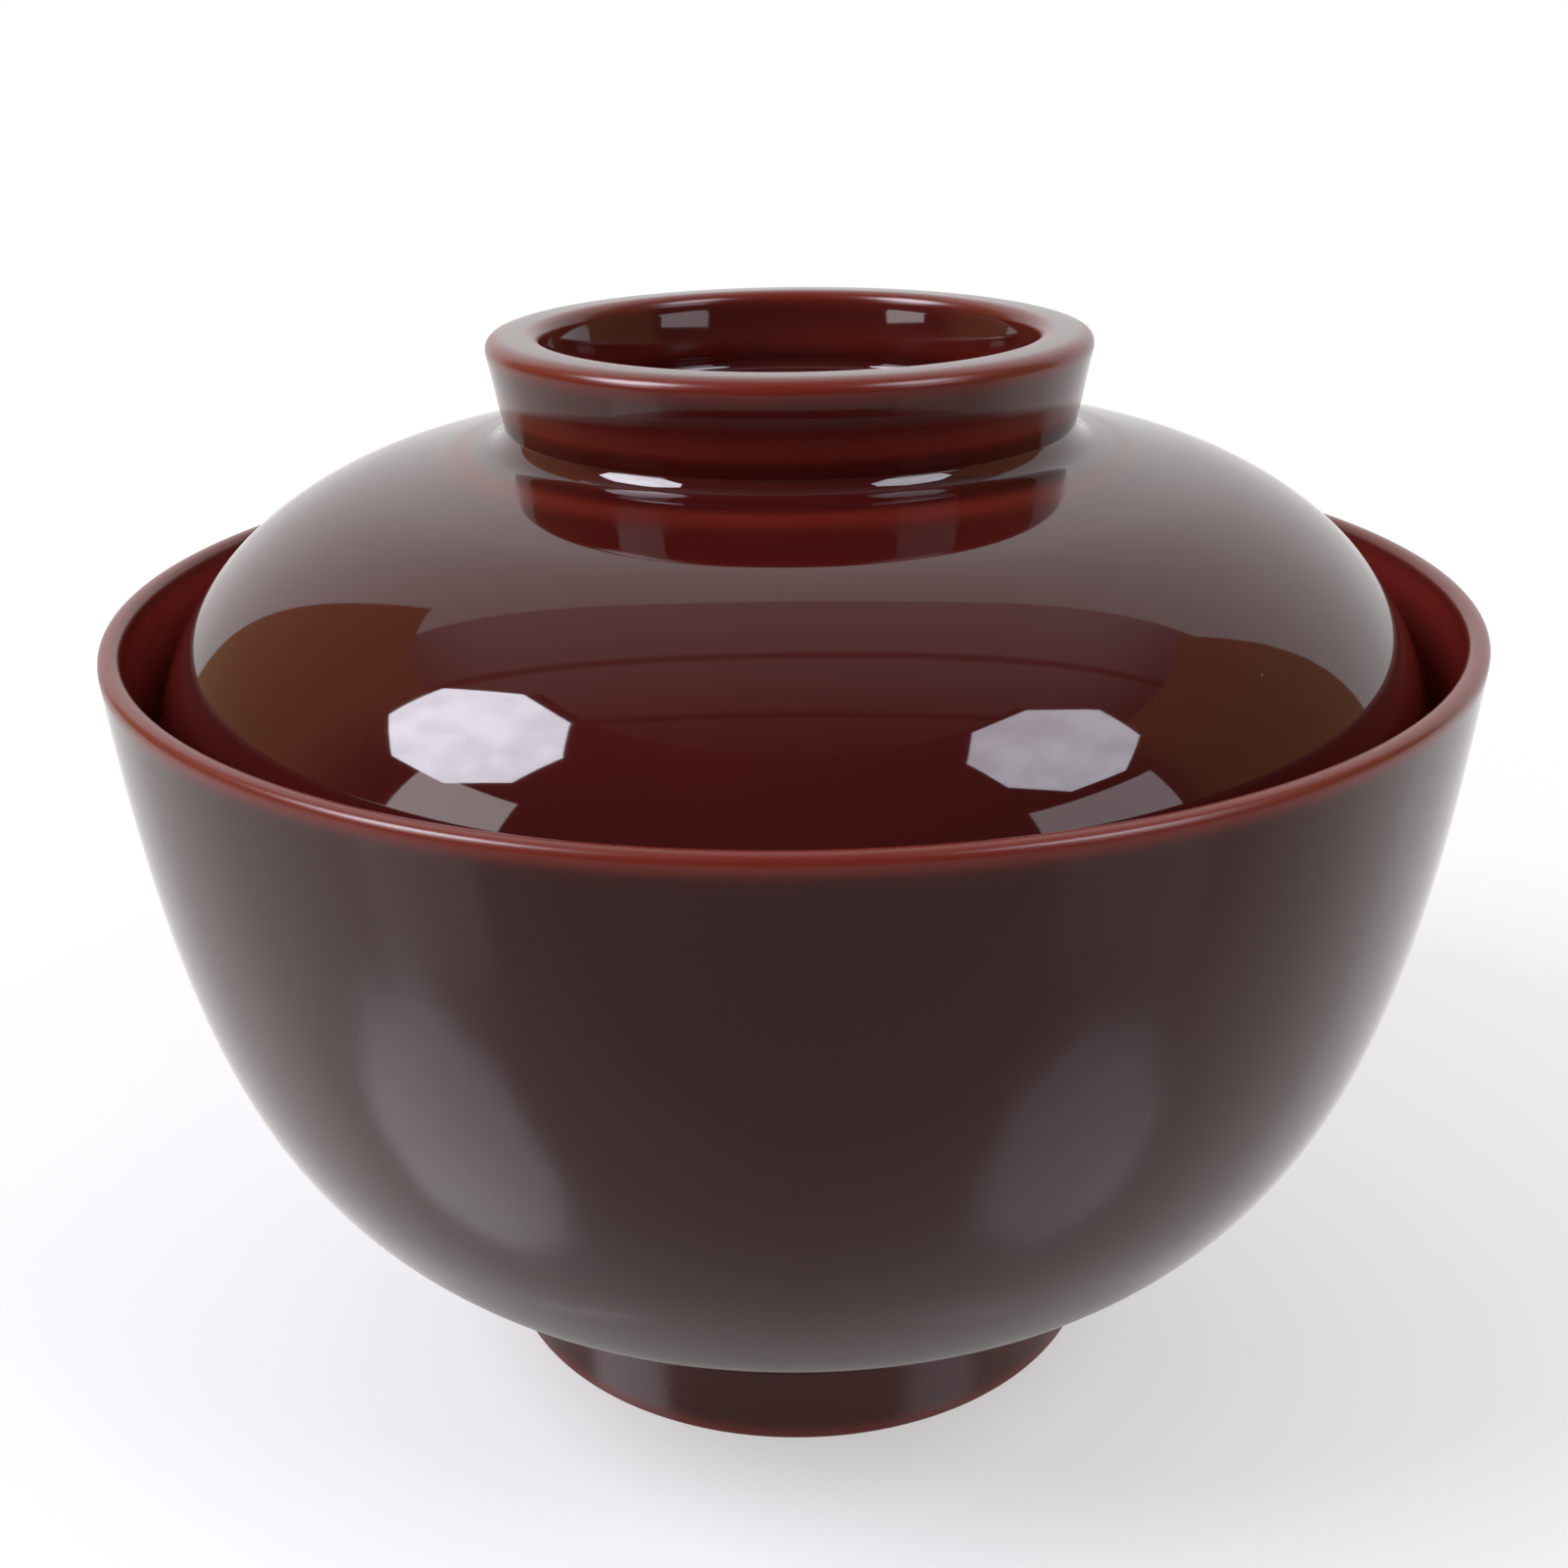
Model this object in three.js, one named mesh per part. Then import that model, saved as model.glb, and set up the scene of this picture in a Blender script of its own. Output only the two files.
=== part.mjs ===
// Lidded lacquer rice bowl: a turned bowl on a foot ring, and a domed lid with a grip ring.
// Millimetres, +Z up. The origin is the centre of the face that the foot ring stands on.
import * as THREE from "three";

const SIDES = 64; // flats round each turned piece

// Bowl
const RIM_RADIUS = 62.5;
const RIM_HEIGHT = 74.8;
const LIP_THICKNESS = 1.9;
const LIP_ROUND = 0.7;
const BODY_UPPER_PULL = [59.3, 28.4]; // Bezier handles of the outer wall
const BODY_LOWER_PULL = [50.3, 21.0];
const INSIDE_UPPER_PULL = [57.2, 29.0]; // Bezier handles of the inner wall
const INSIDE_LOWER_PULL = [46.5, 12.8];
const INSIDE_FLOOR = 12.8;

const FOOT_RADIUS = 30.8;
const FOOT_TOP_RADIUS = 31.1;
const FOOT_TOP = 10.4;
const FOOT_WALL = 4.0;
const FOOT_FILLET = 1.5;
const FOOT_ROUND = 0.5;
const RECESS_DEPTH = 6.6;
const RECESS_CORNER = 2.0;

// Lid
const LID_RADIUS = 59.1;
const LID_EDGE_HEIGHT = 63.2;
const LID_EDGE_THICKNESS = 1.8;
const DOME_LOWER_PULL = [57.4, 78.8]; // Bezier handles of the dome's shoulder
const DOME_UPPER_PULL = [44.9, 85.15];
const CROWN_RADIUS = 38.0; // where the shoulder eases into the flatter crown
const CROWN_HEIGHT = 87.03;
const CROWN_PULL = [34.0, 88.08];
const UNDER_LOWER_PULL = [55.1, 82.6]; // Bezier handles of the lid's underside
const UNDER_UPPER_PULL = [33.8, 89.2];
const UNDER_TOP = 89.2;

// Grip ring: its side flares upwards from a cove
const COVE_END = [27.95, 89.13];
const COVE_PULL = [26.5, 89.38];
const COVE_START = [25.9, 90.7];
const RING_RADIUS = 27.35; // where the side and the top would meet
const RING_HEIGHT = 98.8;
const RING_SHOULDER_RADIUS = 27.13;
const RING_ROUND = 1.5; // height of the rounded outer shoulder
const RING_ROUND_WIDTH = 2.0;
const RING_WALL = 5.05;
const MOUTH_ROUND = 1.4;
const WELL_PULL = [21.6, 95.3]; // Bezier handle of the well's side
const WELL_RADIUS = 21.4; // inside the ring, at its floor
const WELL_FLOOR = 91.2;
const WELL_CORNER = 1.2;

const at = (radius, height) => new THREE.Vector2(radius, height);

// Curves of a turning profile, each with the number of steps that it is cut into.
const straight = (from, to) => ({ curve: new THREE.LineCurve(from, to), steps: 1 });
const corner = (from, tip, to, steps = 3) => ({
  curve: new THREE.QuadraticBezierCurve(from, tip, to),
  steps,
});
const sweep = (from, pull, push, to, steps) => ({
  curve: new THREE.CubicBezierCurve(from, at(...pull), at(...push), to),
  steps,
});

// One solid turned from a chain of curves that starts and ends on the axis.
function turned(name, chain, material) {
  const points = chain.flatMap(({ curve, steps }) => curve.getPoints(steps).slice(0, -1));
  points.push(chain.at(-1).curve.getPoint(1));
  const geometry = new THREE.LatheGeometry(points, SIDES);
  geometry.rotateX(Math.PI / 2);
  const mesh = new THREE.Mesh(geometry, material);
  mesh.name = name;
  return mesh;
}

// From the middle of the foot's recess, out round the foot, up the wall, over the lip and down inside.
function bowlChain() {
  const footInside = FOOT_RADIUS - FOOT_WALL;
  const recessEdge = at(footInside - RECESS_CORNER, RECESS_DEPTH);
  const recessSide = at(footInside, RECESS_DEPTH - RECESS_CORNER);
  const standInside = at(footInside, FOOT_ROUND);
  const footInnerFlat = at(footInside + FOOT_ROUND, 0);
  const footOuterFlat = at(FOOT_RADIUS - FOOT_ROUND, 0);
  const standOutside = at(FOOT_RADIUS, FOOT_ROUND);
  const footNeck = at(FOOT_TOP_RADIUS, FOOT_TOP - FOOT_FILLET);
  const wallStart = at(FOOT_TOP_RADIUS + FOOT_FILLET, FOOT_TOP + FOOT_FILLET / 2);
  const wallEnd = at(RIM_RADIUS, RIM_HEIGHT - LIP_ROUND);
  const lipOuter = at(RIM_RADIUS - LIP_ROUND, RIM_HEIGHT);
  const lipInner = at(RIM_RADIUS - LIP_THICKNESS + LIP_ROUND, RIM_HEIGHT);
  const insideStart = at(RIM_RADIUS - LIP_THICKNESS, RIM_HEIGHT - LIP_ROUND);
  return [
    straight(at(0, RECESS_DEPTH), recessEdge),
    corner(recessEdge, at(footInside, RECESS_DEPTH), recessSide),
    straight(recessSide, standInside),
    corner(standInside, at(footInside, 0), footInnerFlat, 1),
    straight(footInnerFlat, footOuterFlat),
    corner(footOuterFlat, at(FOOT_RADIUS, 0), standOutside, 1),
    straight(standOutside, footNeck),
    corner(footNeck, at(FOOT_TOP_RADIUS, FOOT_TOP), wallStart, 2),
    sweep(wallStart, BODY_LOWER_PULL, BODY_UPPER_PULL, wallEnd, 12),
    corner(wallEnd, at(RIM_RADIUS, RIM_HEIGHT), lipOuter, 2),
    straight(lipOuter, lipInner),
    corner(lipInner, at(RIM_RADIUS - LIP_THICKNESS, RIM_HEIGHT), insideStart, 2),
    sweep(insideStart, INSIDE_UPPER_PULL, INSIDE_LOWER_PULL, at(0, INSIDE_FLOOR), 12),
  ];
}

// From the middle of the lid's underside, out to its edge, over the dome, up the ring and into its well.
function lidChain() {
  const edgeInner = at(LID_RADIUS - LID_EDGE_THICKNESS, LID_EDGE_HEIGHT);
  const edgeOuter = at(LID_RADIUS, LID_EDGE_HEIGHT);
  const edgeBottom = at(LID_RADIUS - LID_EDGE_THICKNESS / 2, LID_EDGE_HEIGHT - LID_EDGE_THICKNESS / 2);
  const crownEdge = at(CROWN_RADIUS, CROWN_HEIGHT);
  const coveEnd = at(...COVE_END);
  const coveStart = at(...COVE_START);
  const ringShoulder = at(RING_SHOULDER_RADIUS, RING_HEIGHT - RING_ROUND);
  const ringTopOuter = at(RING_RADIUS - RING_ROUND_WIDTH, RING_HEIGHT);
  const mouth = RING_RADIUS - RING_WALL;
  const ringTopInner = at(mouth + MOUTH_ROUND, RING_HEIGHT);
  const wellMouth = at(mouth, RING_HEIGHT - MOUTH_ROUND);
  const wellSide = at(WELL_RADIUS, WELL_FLOOR + WELL_CORNER);
  const wellEdge = at(WELL_RADIUS - WELL_CORNER, WELL_FLOOR);
  return [
    sweep(at(0, UNDER_TOP), UNDER_UPPER_PULL, UNDER_LOWER_PULL, edgeInner, 12),
    corner(edgeInner, at(edgeInner.x, edgeBottom.y), edgeBottom, 1),
    corner(edgeBottom, at(edgeOuter.x, edgeBottom.y), edgeOuter, 2),
    sweep(edgeOuter, DOME_LOWER_PULL, DOME_UPPER_PULL, crownEdge, 12),
    corner(crownEdge, at(...CROWN_PULL), coveEnd),
    corner(coveEnd, at(...COVE_PULL), coveStart, 5),
    straight(coveStart, ringShoulder),
    corner(ringShoulder, at(RING_RADIUS, RING_HEIGHT), ringTopOuter),
    straight(ringTopOuter, ringTopInner),
    corner(ringTopInner, at(mouth, RING_HEIGHT), wellMouth),
    corner(wellMouth, at(...WELL_PULL), wellSide),
    corner(wellSide, at(WELL_RADIUS, WELL_FLOOR), wellEdge, 2),
    straight(wellEdge, at(0, WELL_FLOOR)),
  ];
}

const lacquer = (color) => new THREE.MeshStandardMaterial({ color, roughness: 0.12, metalness: 0 });

const riceBowl = new THREE.Group();
riceBowl.add(turned("bowl", bowlChain(), lacquer(0x3d1513)));
riceBowl.add(turned("lid", lidChain(), lacquer(0x4a120d)));

export default riceBowl;
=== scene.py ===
import math

import bpy
from mathutils import Matrix, Vector, noise


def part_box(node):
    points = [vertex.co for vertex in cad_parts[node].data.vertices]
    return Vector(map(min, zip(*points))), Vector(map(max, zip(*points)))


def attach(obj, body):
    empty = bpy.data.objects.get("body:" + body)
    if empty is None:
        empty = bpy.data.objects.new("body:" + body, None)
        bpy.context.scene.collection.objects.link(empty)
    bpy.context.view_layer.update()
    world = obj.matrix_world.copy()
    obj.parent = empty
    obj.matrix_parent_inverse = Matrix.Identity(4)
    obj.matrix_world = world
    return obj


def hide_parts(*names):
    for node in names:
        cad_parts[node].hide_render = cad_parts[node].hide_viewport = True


# A lidded rice bowl of turned wood in dark red-brown translucent lacquer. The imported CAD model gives
# the sizes and places. Each of its two nodes is replaced by a finely turned surface of the same shape.

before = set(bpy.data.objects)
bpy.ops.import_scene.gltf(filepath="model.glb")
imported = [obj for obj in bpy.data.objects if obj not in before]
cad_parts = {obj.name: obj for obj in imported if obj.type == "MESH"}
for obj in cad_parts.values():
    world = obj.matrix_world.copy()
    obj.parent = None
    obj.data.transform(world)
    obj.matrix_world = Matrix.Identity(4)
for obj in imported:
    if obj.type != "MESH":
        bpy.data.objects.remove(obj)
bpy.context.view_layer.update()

MM = 0.001
SIDES = 256  # flats round each turned piece


# ---------------------------------------------------------------- turning profiles, in millimetres


def straight(start, end):
    return [start, end]


def corner(start, tip, end, steps=10):
    """A rounded corner: the quadratic curve from start to end that heads for tip."""
    points = []
    for step in range(steps + 1):
        t = step / steps
        weights = ((1 - t) ** 2, 2 * t * (1 - t), t * t)
        points.append(tuple(sum(w * p[k] for w, p in zip(weights, (start, tip, end))) for k in (0, 1)))
    return points


def sweep(start, pull, push, end, steps=56):
    """A long wall: the cubic curve from start to end with the handles pull and push."""
    points = []
    for step in range(steps + 1):
        t = step / steps
        weights = ((1 - t) ** 3, 3 * t * (1 - t) ** 2, 3 * t * t * (1 - t), t**3)
        knots = (start, pull, push, end)
        points.append(tuple(sum(w * p[k] for w, p in zip(weights, knots)) for k in (0, 1)))
    return points


def chained(*curves):
    """One outline from curves that each start where the last one ended."""
    outline = list(curves[0])
    for curve in curves[1:]:
        outline += curve[1:]
    return outline


# Each outline comes with its colour bands (the middle of the band, its reach along the outline and how much
# thinner the lacquer is there, below 0 thicker) and with the two ends of the stretch that has the red
# lining.
# The bowl's band is wear on the foot; the lid's bands beside the ring's cove are partly painted light and
# shade.


def bowl_outline():
    """From the middle of the foot's recess, round the foot, up the wall, over the lip and down inside."""
    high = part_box("bowl")[1] / MM
    rim, top = high.x, high.z
    lip, lip_round = 1.9, 0.95
    foot, foot_top, foot_height, foot_wall = 30.8, 31.1, 10.4, 4.0
    fillet, foot_round = 1.5, 0.6
    recess, recess_corner = 6.6, 2.0
    floor = 12.8
    inside = foot - foot_wall
    wall_start = (foot_top + fillet, foot_height + fillet / 2)
    lip_outside = (rim, top - lip_round)
    lip_top = (rim - lip / 2, top)
    lip_inside = (rim - lip, top - lip_round)
    outline = chained(
        straight((0, recess), (inside - recess_corner, recess)),
        corner((inside - recess_corner, recess), (inside, recess), (inside, recess - recess_corner)),
        straight((inside, recess - recess_corner), (inside, foot_round)),
        corner((inside, foot_round), (inside, 0), (inside + foot_round, 0)),
        straight((inside + foot_round, 0), (foot - foot_round, 0)),
        corner((foot - foot_round, 0), (foot, 0), (foot, foot_round)),
        straight((foot, foot_round), (foot_top, foot_height - fillet)),
        corner((foot_top, foot_height - fillet), (foot_top, foot_height), wall_start),
        sweep(wall_start, (50.3, 21.0), (59.3, 28.4), lip_outside),
        corner(lip_outside, (rim, top), lip_top),
        corner(lip_top, (rim - lip, top), lip_inside),
        sweep(lip_inside, (57.2, 29.0), (46.5, floor), (0, floor)),
    )
    colour_bands = [((foot_top, 5.5), 5.0, 0.28)]
    return outline, colour_bands, (lip_inside, (0, floor))


def lid_outline():
    """From the middle of the underside, out to the edge, over the dome, up the ring and into its well."""
    low, high = (corner_point / MM for corner_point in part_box("lid"))
    edge, top = high.x, high.z
    edge_wall = 1.8
    edge_height = low.z + edge_wall / 2
    under_edge = (edge - edge_wall, edge_height)
    edge_bottom = (edge - edge_wall / 2, low.z)
    edge_side = (edge, edge_height)
    crown_edge, cove_end, cove_start = (38.0, 87.03), (27.95, 89.13), (25.9, 90.7)
    ring_side, ring_top = (27.13, top - 1.5), (25.35, top)
    above_cove = (cove_start[0] + 0.008, cove_start[1] + 0.042)
    mouth, mouth_round = 22.3, 1.4
    mouth_top, mouth_side = (mouth + mouth_round, top), (mouth, top - mouth_round)
    well, well_floor, well_corner = 21.4, 91.2, 1.2
    well_side, well_edge = (well, well_floor + well_corner), (well - well_corner, well_floor)
    outline = chained(
        sweep((0, 89.2), (33.8, 89.2), (55.1, 82.6), under_edge),
        corner(under_edge, (edge - edge_wall, low.z), edge_bottom, 6),
        corner(edge_bottom, (edge, low.z), edge_side, 6),
        sweep(edge_side, (57.4, 78.8), (44.9, 85.15), crown_edge),
        corner(crown_edge, (34.0, 88.08), cove_end),
        corner(cove_end, (26.5, 89.38), cove_start, 16),
        straight(cove_start, above_cove),
        straight(above_cove, ring_side),
        corner(ring_side, (27.35, top), ring_top),
        straight(ring_top, mouth_top),
        corner(mouth_top, (mouth, top), mouth_side),
        corner(mouth_side, (21.6, 95.3), well_side),
        corner(well_side, (well, well_floor), well_edge),
        straight(well_edge, (0, well_floor)),
    )
    # The crown and wall bands make the lacquer lighter orange on both sides of the cove: partly thinner
    # lacquer, partly painted light, the red glow that the ring wall and the dome throw onto each other.
    crown_band = ((30.3, 88.8), 2.0, 0.5)
    wall_band = ((26.2, 92.8), 2.0, 0.6)
    well_band = ((well, 93.6), 3.0, 0.3)
    # The cove's band makes the lacquer darker there: painted shade of the deep cove, together with lacquer
    # pooled thick in it.
    pooled_and_shaded_cove = (cove_start, 1.2, -0.4)
    colour_bands = [crown_band, wall_band, well_band, pooled_and_shaded_cove]
    return outline, colour_bands, ((0, 89.2), under_edge)


# ---------------------------------------------------------------- turned pieces


def refined(outline, longest=1.0):
    """The outline with every stretch over the longest length cut into equal steps."""
    points = [outline[0]]
    for start, end in zip(outline, outline[1:]):
        steps = max(1, math.ceil(math.dist(start, end) / longest))
        for step in range(1, steps + 1):
            t = step / steps
            points.append((start[0] + (end[0] - start[0]) * t, start[1] + (end[1] - start[1]) * t))
    return points


def lengths_along(outline):
    """The distance along the outline from its start to each point."""
    along = [0.0]
    for start, end in zip(outline, outline[1:]):
        along.append(along[-1] + math.dist(start, end))
    return along


def place_along(outline, along, target):
    """How far along the outline its point nearest to target lies."""
    return min(zip(outline, along), key=lambda pair: math.dist(pair[0], target))[1]


def edge_thinness(outline, along, reach=1.1):
    """How far the lacquer thins at each point: 1 on a square outer edge, below 0 in a groove."""
    turns = [0.0]
    for before, here, after in zip(outline, outline[1:], outline[2:]):
        into = math.atan2(here[1] - before[1], here[0] - before[0])
        out_of = math.atan2(after[1] - here[1], after[0] - here[0])
        turns.append(math.remainder(out_of - into, math.tau))
    turns.append(0.0)
    thinness = []
    for place in along:
        total = sum(
            turn * math.exp(-(((place - other) / reach) ** 2))
            for turn, other in zip(turns, along)
            if abs(place - other) < 3 * reach
        )
        thinness.append(total / (math.pi / 2))
    return thinness


def worn_and_painted_bands(outline, along, bands):
    """The thinness that the bands add at each point, or take away where the lacquer has pooled. On the lid
    the bands beside the ring's cove are partly painted light and shade.
    """
    middles = [(place_along(outline, along, middle), reach, amount) for middle, reach, amount in bands]
    return [
        sum(amount * math.exp(-(((place - middle) / reach) ** 2)) for middle, reach, amount in middles)
        for place in along
    ]


def lined_stretch(outline, along, ends, seam=0.6):
    """1 on the stretch between the two ends and 0 elsewhere, with a soft seam."""
    first, last = sorted(place_along(outline, along, end) for end in ends)
    if last < along[-1]:
        return [1 / (1 + math.exp(min(40.0, (place - last) / seam))) for place in along]
    return [1 / (1 + math.exp(min(40.0, (first - place) / seam))) for place in along]


def turned(name, outline, bands, lined, waviness=0.012):
    """A closed piece turned from its outline, with the slight waviness of a hand-polished surface."""
    outline = refined(outline)
    along = lengths_along(outline)
    edges = edge_thinness(outline, along)
    # On the lid this thinness also holds the painted light and shade of the bands beside the ring's cove.
    thinness = [sum(pair) for pair in zip(edges, worn_and_painted_bands(outline, along, bands))]
    lining = lined_stretch(outline, along, lined)
    rings = outline[1:-1]
    points = [(0.0, 0.0, outline[0][1])]
    for radius, height in rings:
        for side in range(SIDES):
            angle = math.tau * side / SIDES
            points.append((radius * math.cos(angle), radius * math.sin(angle), height))
    points.append((0.0, 0.0, outline[-1][1]))
    last = len(points) - 1

    faces = []
    for side in range(SIDES):
        beside = (side + 1) % SIDES
        faces.append((0, 1 + beside, 1 + side))
        for ring in range(len(rings) - 1):
            low, high = 1 + ring * SIDES, 1 + (ring + 1) * SIDES
            faces.append((low + side, low + beside, high + beside, high + side))
        top = 1 + (len(rings) - 1) * SIDES
        faces.append((top + side, top + beside, last))

    mesh = bpy.data.meshes.new(name)
    mesh.from_pydata([Vector(p) * MM for p in points], [], faces)
    mesh.update()
    for polygon in mesh.polygons:
        polygon.use_smooth = True

    for title, amounts in (("thinness", thinness), ("lining", lining)):
        layer = mesh.attributes.new(title, "FLOAT", "POINT")
        values = [amounts[0]]
        for value in amounts[1:-1]:
            values += [value] * SIDES
        values.append(amounts[-1])
        layer.data.foreach_set("value", values)

    normals = [v.normal.copy() for v in mesh.vertices]
    for vertex, normal in zip(mesh.vertices, normals):
        swell = noise.fractal(vertex.co * 55.0, 0.6, 2.0, 2)
        vertex.co += normal * (swell - 1.0) * waviness * MM
    mesh.update()
    piece = bpy.data.objects.new(name, mesh)
    bpy.context.scene.collection.objects.link(piece)
    return piece


# ---------------------------------------------------------------- materials


class Shader:
    """A material's node tree, with short ways to add its nodes."""

    def __init__(self, name):
        self.material = bpy.data.materials.new(name)
        self.material.use_nodes = True
        self.tree = self.material.node_tree
        self.tree.nodes.clear()
        self.output = self.tree.nodes.new("ShaderNodeOutputMaterial")

    def node(self, kind, inputs=None, **settings):
        made = self.tree.nodes.new("ShaderNode" + kind)
        for key, value in settings.items():
            setattr(made, key, value)
        for key, value in (inputs or {}).items():
            self.give(made.inputs[key], value)
        return made

    def give(self, socket, value):
        if isinstance(value, bpy.types.NodeSocket):
            self.tree.links.new(value, socket)
        else:
            socket.default_value = value

    def math(self, operation, *values, clamp=False):
        made = self.node("Math", dict(enumerate(values)), operation=operation, use_clamp=clamp)
        return made.outputs[0]

    def noise(self, vector, scale, detail=2.0, roughness=0.5):
        inputs = {"Vector": vector, "Scale": scale, "Detail": detail, "Roughness": roughness}
        return self.node("TexNoise", inputs).outputs["Fac"]

    def spread(self, value, low, high, to_low=0.0, to_high=1.0):
        """Maps low..high to to_low..to_high with a smooth start and end."""
        names = ("Value", "From Min", "From Max", "To Min", "To Max")
        inputs = dict(zip(names, (value, low, high, to_low, to_high)))
        return self.node("MapRange", inputs, interpolation_type="SMOOTHSTEP").outputs["Result"]

    def blend(self, factor, first, second):
        made = self.node("Mix", data_type="RGBA")
        for key, value in ((0, factor), (6, first), (7, second)):
            self.give(made.inputs[key], value)
        return made.outputs[2]

    def finish(self, surface):
        self.tree.links.new(surface, self.output.inputs["Surface"])
        return self.material


THIN = (0.13, 0.0140, 0.0070, 1.0)  # the lacquer's colour where it lies thin
LINING = (0.24, 0.025, 0.020, 1.0)  # and on the inside of each piece


def lacquer(name, deep, thin, inside, gloss):
    """Translucent red-brown lacquer over a red ground: dark where it lies thick, orange-red on the edges."""
    shader = Shader(name)
    place = shader.node("TexCoord").outputs["Object"]
    split = shader.node("SeparateXYZ", {"Vector": place})
    x, y, z = split.outputs
    squares = shader.math("MULTIPLY", x, x), shader.math("MULTIPLY", y, y)
    radius = shader.math("SQRT", shader.math("ADD", *squares))
    turning = shader.node("CombineXYZ", {"X": radius, "Y": z, "Z": 0.0}).outputs[0]

    # The lacquer's thickness: thin on outer edges, with faint rings from turning and slow cloudy drift.
    # On the lid it also holds the painted light and shade of the bands beside the ring's cove.
    edge = shader.node("Attribute", attribute_name="thinness").outputs["Fac"]
    rings = shader.noise(turning, 420.0, 3.0, 0.6)
    drift = shader.noise(place, 48.0, 3.0, 0.55)
    uneven = shader.math("MULTIPLY_ADD", drift, 0.24, shader.math("MULTIPLY", rings, 0.14))
    thickness = shader.math("ADD", shader.math("SUBTRACT", uneven, 0.19), edge)
    shows = shader.spread(thickness, 0.0, 0.85)
    lining = shader.node("Attribute", attribute_name="lining").outputs["Fac"]
    color = shader.blend(shows, shader.blend(lining, deep, inside), thin)

    # Dust specks that dried into the last coat, and the polish's fine scratches.
    cells = shader.node("TexVoronoi", {"Vector": place, "Scale": 170.0})
    cell_color = shader.node("SeparateColor", {"Color": cells.outputs["Color"]})
    chosen = shader.math("GREATER_THAN", cell_color.outputs[0], 0.82)
    speck = shader.math("MULTIPLY", chosen, shader.spread(cells.outputs["Distance"], 0.016, 0.006))
    color = shader.blend(shader.math("MULTIPLY", speck, 0.35), color, (0.35, 0.30, 0.28, 1.0))
    smudge = shader.spread(shader.noise(place, 30.0, 4.0, 0.6), 0.45, 0.75)
    scratch = shader.spread(shader.noise(turning, 2600.0, 2.0, 0.7), 0.55, 0.8)
    rough = shader.math("MULTIPLY_ADD", smudge, 0.03, gloss)
    rough = shader.math("MULTIPLY_ADD", scratch, 0.012, rough)
    rough = shader.math("MULTIPLY_ADD", shows, 0.22, rough)
    rough = shader.math("MULTIPLY_ADD", speck, 0.25, rough, clamp=True)

    peel = shader.noise(place, 320.0, 2.0, 0.5)
    bump = shader.node("Bump", {"Strength": 0.25, "Distance": 0.000006, "Height": peel})
    raised = shader.node(
        "Bump",
        {"Strength": 0.6, "Distance": 0.00004, "Height": speck, "Normal": bump.outputs[0]},
    )
    surface = shader.node(
        "BsdfPrincipled",
        {"Base Color": color, "Roughness": rough, "IOR": 1.5, "Normal": raised.outputs[0]},
    )
    return shader.finish(surface.outputs[0])


def glow(name, color, strength, far_color=None):
    """Even light, or light that changes to the far colour along the attribute called along."""
    shader = Shader(name)
    shade = (*color, 1.0)
    if far_color:
        along = shader.node("Attribute", attribute_name="along").outputs["Fac"]
        shade = shader.blend(shader.spread(along, 0.0, 1.0), shade, (*far_color, 1.0))
    surface = shader.node("Emission", {"Color": shade, "Strength": strength})
    return shader.finish(surface.outputs[0])


def lamp_cloth(name, centre, reach, strength):
    """A softbox's cloth: brightest in the middle, a little uneven, and faintly blue."""
    shader = Shader(name)
    place = shader.node("TexCoord").outputs["Object"]
    from_middle = shader.node("VectorMath", {0: place, 1: centre}, operation="DISTANCE").outputs["Value"]
    light = shader.spread(from_middle, 0.0, reach, strength * 1.04, strength * 0.97)
    uneven = shader.spread(shader.noise(place, 9.0, 2.0, 0.5), 0.3, 0.7, 0.9, 1.08)
    light = shader.math("MULTIPLY", light, uneven)
    surface = shader.node("Emission", {"Color": (0.98, 0.98, 1.10, 1.0), "Strength": light})
    return shader.finish(surface.outputs[0])


# ---------------------------------------------------------------- stage

EYE_LEVEL = Vector((0.0, 0.0, 0.08))  # the middle of the lid, which the lamps face


def toward(azimuth, elevation):
    """Unit vector to a place in the room. Azimuth 0 is the camera's side and 90 is its right, in degrees."""
    a, e = math.radians(azimuth), math.radians(elevation)
    return Vector((math.sin(a) * math.cos(e), -math.cos(a) * math.cos(e), math.sin(e)))


def staged(name, points, faces, material, for_camera=False):
    mesh = bpy.data.meshes.new(name)
    mesh.from_pydata(points, [], faces)
    mesh.materials.append(material)
    obj = bpy.data.objects.new(name, mesh)
    bpy.context.scene.collection.objects.link(obj)
    obj.visible_camera = for_camera
    return obj


def octagon_lamp(name, azimuth, elevation, spread, strength, distance=0.9):
    """An octagonal softbox that faces the bowl. Spread is its half width as seen from there, in degrees."""
    back = toward(azimuth, elevation)
    centre = EYE_LEVEL + back * distance
    turn = back.to_track_quat("Z", "Y").to_matrix()
    reach = distance * math.tan(math.radians(spread))
    points = [centre]
    for side in range(8):
        angle = math.radians(22.5 + 45 * side)
        points.append(centre + turn @ Vector((math.cos(angle), math.sin(angle), 0)) * reach)
    faces = [(0, 1 + side, 1 + (side + 1) % 8) for side in range(8)]
    return staged(name, points, faces, lamp_cloth(name, centre, reach, strength))


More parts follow.
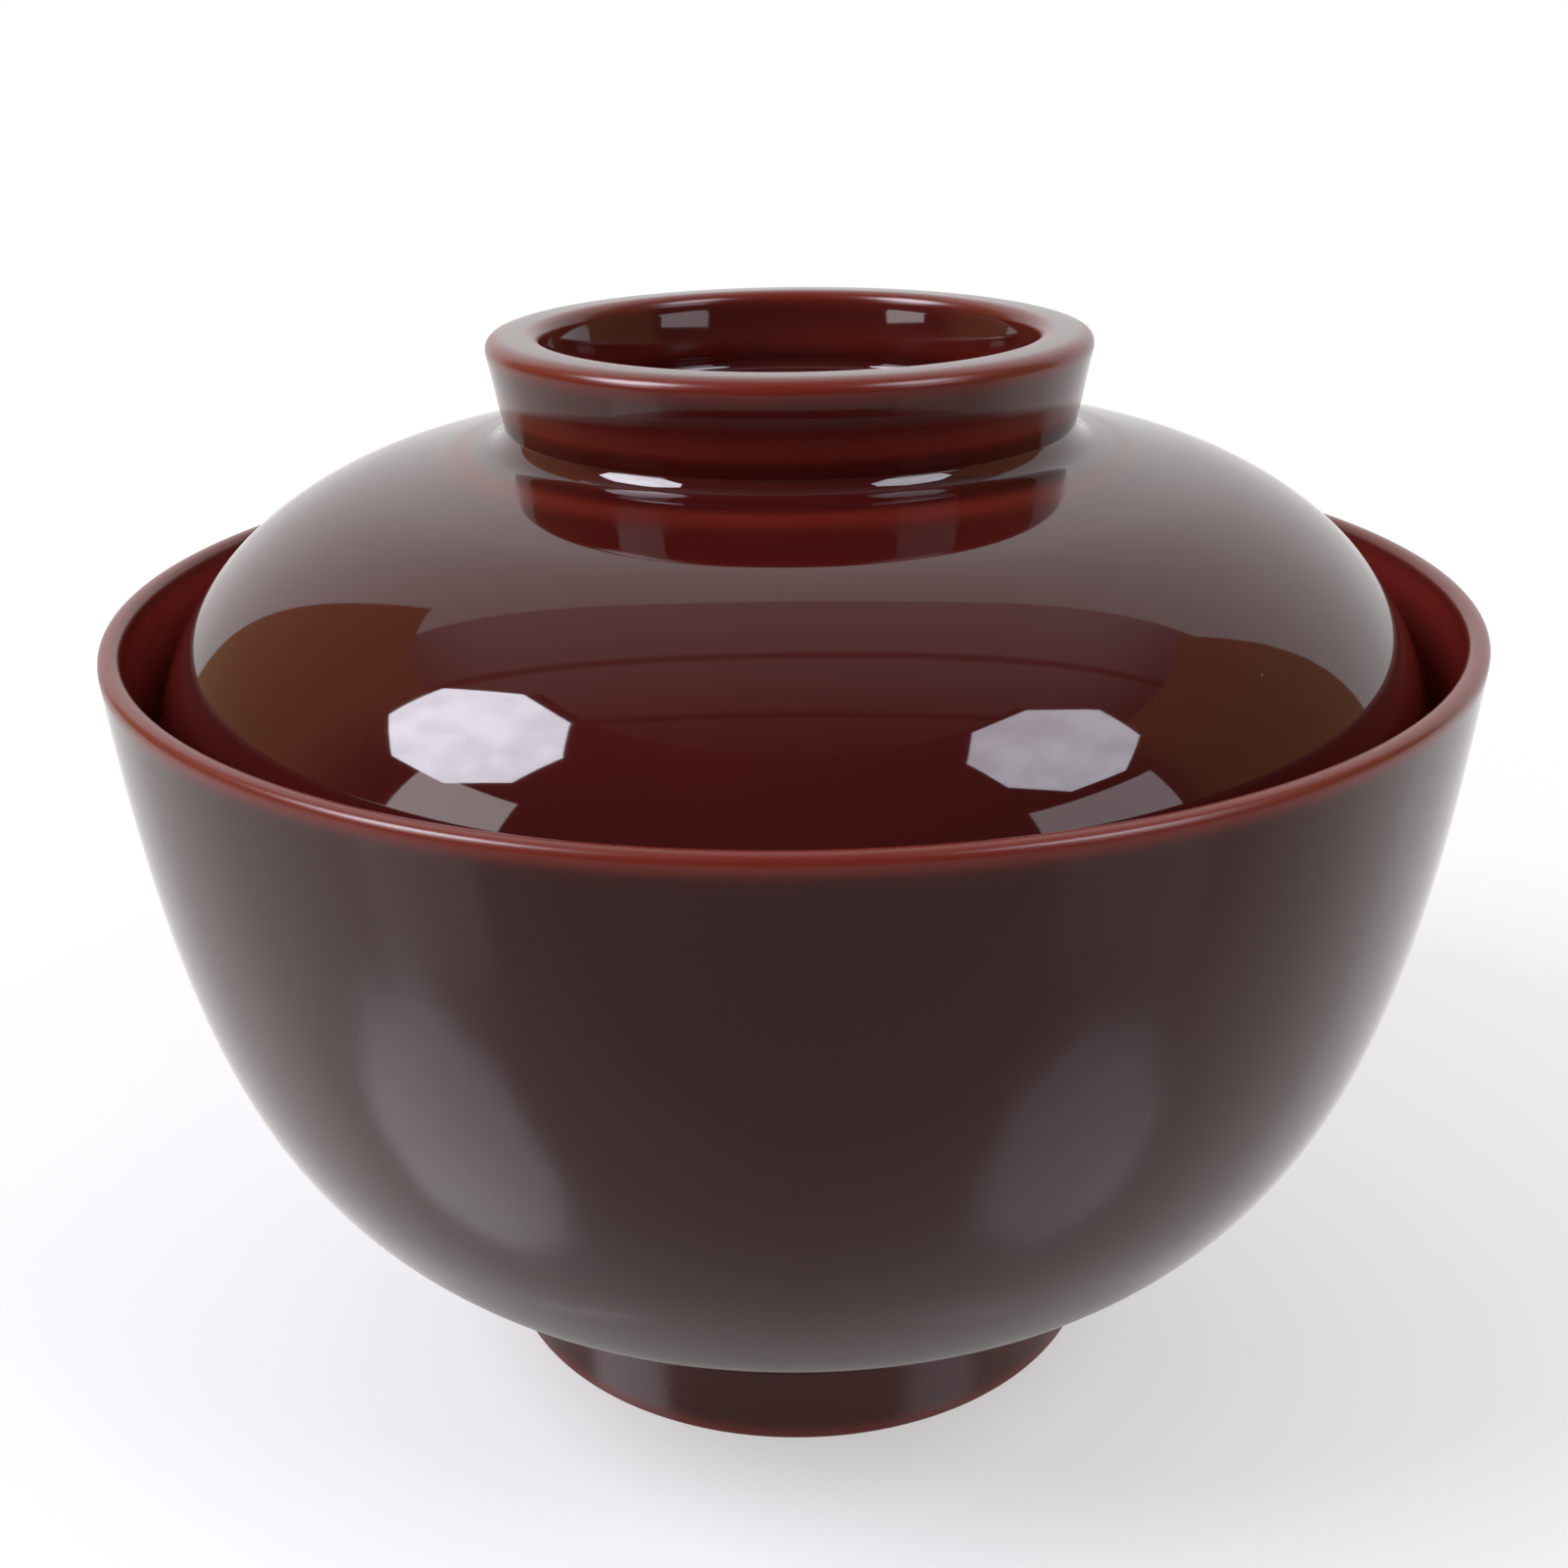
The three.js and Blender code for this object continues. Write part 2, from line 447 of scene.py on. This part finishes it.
def screen(name, azimuths, elevations, color, strength, distance=1.2, far_color=None):
    """An upright curved screen round the bowl, between two azimuths and two elevations."""
    steps = 12
    points, faces = [], []
    for step in range(steps + 1):
        azimuth = azimuths[0] + (azimuths[1] - azimuths[0]) * step / steps
        flat = toward(azimuth, 0) * distance
        for elevation in elevations:
            points.append(EYE_LEVEL + flat + Vector((0, 0, distance * math.tan(math.radians(elevation)))))
    for step in range(steps):
        faces.append((2 * step, 2 * step + 2, 2 * step + 3, 2 * step + 1))
    obj = staged(name, points, faces, glow(name, color, strength, far_color))
    layer = obj.data.attributes.new("along", "FLOAT", "POINT")
    layer.data.foreach_set("value", [step / steps for step in range(steps + 1) for _ in elevations])
    return obj


def ceiling():
    """A room's ceiling with two dark beams, brighter towards the back."""
    shader = Shader("ceiling")
    place = shader.node("TexCoord").outputs["Object"]
    x, y = shader.node("SeparateXYZ", {"Vector": place}).outputs[:2]
    light = shader.spread(y, -1.3, 0.8, 0.12, 0.62)
    for middle in (0.21, -0.63):
        off_beam = shader.math("ABSOLUTE", shader.math("SUBTRACT", y, middle))
        light = shader.math("MULTIPLY", light, shader.spread(off_beam, 0.02, 0.07, 0.4, 1.0))
    light = shader.math("MULTIPLY", light, shader.spread(shader.math("ABSOLUTE", x), 1.2, 2.5, 1.0, 0.3))
    surface = shader.node("Emission", {"Color": (1.0, 0.88, 0.88, 1.0), "Strength": light})
    height, near, far, wide = 2.3, -1.4, 1.1, 2.6
    points = [(-wide, near, height), (wide, near, height), (wide, far, height), (-wide, far, height)]
    staged("ceiling", points, [(0, 1, 2, 3)], shader.finish(surface.outputs[0]))


def camera():
    """At the photograph's viewing angle, from a little above the table and close by."""
    data = bpy.data.cameras.new("camera")
    data.sensor_width = 36.0
    data.lens = 43.49
    data.clip_start = 0.01
    obj = bpy.data.objects.new("camera", data)
    bpy.context.scene.collection.objects.link(obj)
    place = Matrix.Translation((0.0, -0.17296, 0.12506))
    aim = Matrix.Rotation(0.0056, 4, "Z")
    tilt = Matrix.Rotation(math.pi / 2 - 0.38805, 4, "X")
    roll = Matrix.Rotation(-0.0124, 4, "Z")
    obj.matrix_world = place @ aim @ tilt @ roll
    bpy.context.scene.camera = obj


def floor():
    """A pale matte floor that fades into the white surroundings. Reflections see the table top instead."""
    shader = Shader("floor")
    place = shader.node("TexCoord").outputs["Object"]
    away = shader.node("VectorMath", {0: place}, operation="LENGTH").outputs["Value"]
    matte = shader.node("BsdfDiffuse", {"Color": (0.86, 0.86, 0.86, 1.0)})
    white = shader.node("Emission", {"Color": (1.0, 1.0, 1.0, 1.0), "Strength": 1.0})
    fade = shader.spread(away, 0.03, 0.26, 0.45, 1.0)
    surface = shader.node("MixShader", {0: fade, 1: matte.outputs[0], 2: white.outputs[0]})
    reach = 8.0
    points = [(-reach, -reach, 0), (reach, -reach, 0), (reach, reach, 0), (-reach, reach, 0)]
    obj = staged("floor", points, [(0, 1, 2, 3)], shader.finish(surface.outputs[0]), for_camera=True)
    obj.visible_glossy = False


def table_top():
    """What the lacquer mirrors below the horizon: a glowing pale, softly shining table, with painted shade
    that makes it dimmer in front and a painted contact shadow round the foot.
    """
    shader = Shader("table_top")
    place = shader.node("TexCoord").outputs["Object"]
    x, y = shader.node("SeparateXYZ", {"Vector": place}).outputs[:2]
    # Painted light and shade on the glowing table: brighter towards the left and the back, dimmer in front.
    aside = shader.math("MAXIMUM", shader.math("MULTIPLY", x, -0.6), shader.math("MULTIPLY", x, 0.05))
    light = shader.spread(shader.math("ADD", aside, y), -0.12, 0.05, 0.40, 0.90)
    flat = shader.node("CombineXYZ", {"X": x, "Y": y, "Z": 0.0}).outputs[0]
    away = shader.node("VectorMath", {0: flat}, operation="LENGTH").outputs["Value"]
    # A painted contact shadow: the table's glow drops to half close round the foot.
    light = shader.math("MULTIPLY", light, shader.spread(away, 0.033, 0.056, 0.5, 1.0))
    pale = shader.node("Emission", {"Color": (1.0, 0.98, 0.98, 1.0), "Strength": light})
    shine = shader.node("BsdfGlossy", {"Color": (0.07, 0.07, 0.07, 1.0), "Roughness": 0.16})
    surface = shader.node("AddShader", {0: pale.outputs[0], 1: shine.outputs[0]})
    reach = 3.0
    height = -0.0002
    corners = ((-reach, -reach), (reach, -reach), (reach, reach), (-reach, reach))
    points = [(*place_on_table, height) for place_on_table in corners]
    obj = staged("table_top", points, [(0, 1, 2, 3)], shader.finish(surface.outputs[0]))
    obj.visible_diffuse = False
    obj.visible_shadow = False


def studio():
    """Two octagonal softboxes in front, pale panels under them, brown side walls and a dim, beamed room."""
    octagon_lamp("softbox_left", -72, 43, 15.0, 15.0)
    octagon_lamp("softbox_right", 57.5, 45, 13.5, 7.5)
    screen("panel_left", (-72, -51), (16, 31), (1.0, 0.93, 0.93), 4.2, distance=1.1)
    screen("panel_right", (42, 68), (15, 30), (1.0, 0.93, 0.97), 2.4, distance=1.1)
    brown, dim = (0.42, 0.26, 0.13), (0.10, 0.06, 0.06)
    screen("wall_left", (-130, -98), (-8, 45), brown, 1.0)
    screen("wall_left_end", (-98, -76), (-8, 45), brown, 1.0, far_color=dim)
    screen("wall_right", (78, 115), (-8, 44), brown, 0.95)
    screen("wall_right_end", (64, 78), (-8, 44), dim, 0.95, far_color=brown)
    screen("room_front", (-84, 70), (-8, 66), dim, 1.0, distance=1.3)
    ceiling()
    world = bpy.data.worlds.new("white_surround")
    world.use_nodes = True
    background = world.node_tree.nodes["Background"]
    background.inputs["Color"].default_value = (1.0, 1.0, 1.0, 1.0)
    background.inputs["Strength"].default_value = 1.0
    bpy.context.scene.world = world
    bpy.context.scene.view_settings.view_transform = "Standard"


# ---------------------------------------------------------------- the object in its frame


def finished(name, body, outline, material):
    piece = turned(name, *outline)
    piece.data.materials.append(material)
    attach(piece, body)
    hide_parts(body)


camera()
floor()
table_top()
studio()
finished(
    "bowl_turned",
    "bowl",
    bowl_outline(),
    lacquer("bowl_lacquer", (0.028, 0.0034, 0.0032, 1.0), THIN, LINING, 0.06),
)
finished(
    "lid_turned",
    "lid",
    lid_outline(),
    lacquer("lid_lacquer", (0.043, 0.0044, 0.0038, 1.0), THIN, LINING, 0.03),
)
